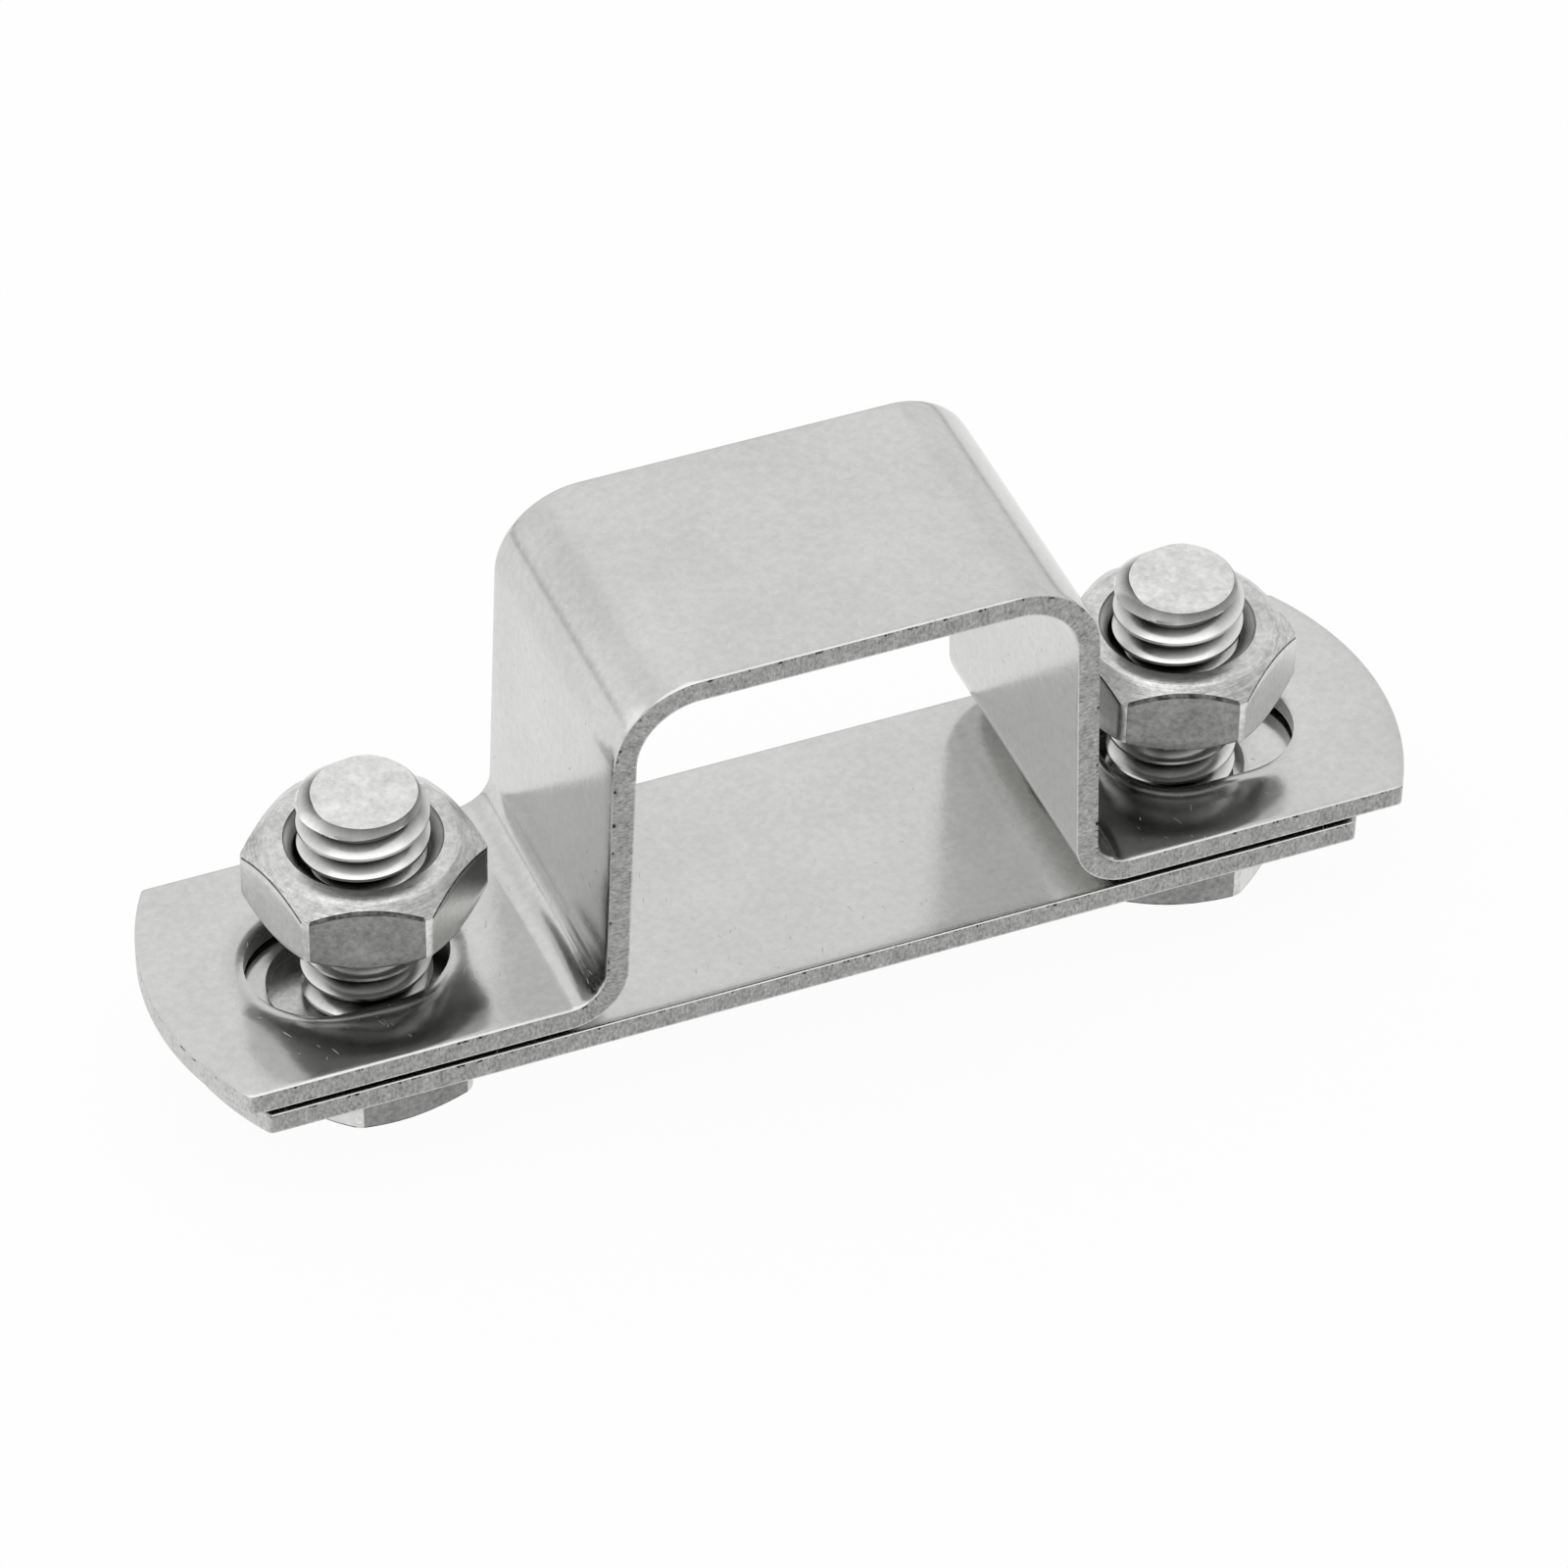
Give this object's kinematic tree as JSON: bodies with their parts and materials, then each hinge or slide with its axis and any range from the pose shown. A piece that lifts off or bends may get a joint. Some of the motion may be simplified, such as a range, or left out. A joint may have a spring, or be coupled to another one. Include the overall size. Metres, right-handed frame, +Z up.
{
  "type": "square tube connector",
  "caption": "Hat-shaped sheet strap bolted over a flat slotted base plate to clamp a square tube, with hex bolts and thin nuts.",
  "frame": {"origin": "on the floor under the bolt heads, at the middle of the strap's length and width", "axes": "+X along the strap from the left bolt to the right bolt, +Y along the tube away from the camera, +Z up along the bolts from heads to tips"},
  "size_m": [0.0802, 0.0196, 0.032],
  "materials": {
    "plate_steel": "satin cold-rolled stainless sheet with sheared edges",
    "bolt_steel": "bright rolled thread with a pale blotchy end",
    "nut_steel": "turned face with fine rings and satin flats"
  },
  "bodies": {
    "clamp": {"base_plate": "plate_steel", "strap": "plate_steel"},
    "left_bolt": {"left_bolt": "bolt_steel"},
    "right_bolt": {"right_bolt": "bolt_steel"},
    "left_nut": {"left_nut": "nut_steel"},
    "right_nut": {"right_nut": "nut_steel"}
  },
  "joints": [
    {"name": "left_bolt_turn", "type": "hinge", "parent": "clamp", "child": "left_bolt", "pos_m": [-0.02655, 0, 0], "axis": [0, 0, 1], "range_deg": [-1620, 810]},
    {"name": "left_nut_travel", "type": "slide", "parent": "clamp", "child": "left_nut", "axis": [0, 0, 1], "range_m": [-0.0036, 0.0072]},
    {"name": "right_bolt_turn", "type": "hinge", "parent": "clamp", "child": "right_bolt", "pos_m": [0.02625, 0, 0], "axis": [0, 0, 1], "range_deg": [-1620, 810]},
    {"name": "right_nut_travel", "type": "slide", "parent": "clamp", "child": "right_nut", "axis": [0, 0, 1], "range_m": [-0.0036, 0.0072]}
  ],
  "couplings": [
    {"joint": "left_nut_travel", "follows": "left_bolt_turn", "m_per_rad": -0.00025464},
    {"joint": "right_nut_travel", "follows": "right_bolt_turn", "m_per_rad": -0.00025464}
  ]
}
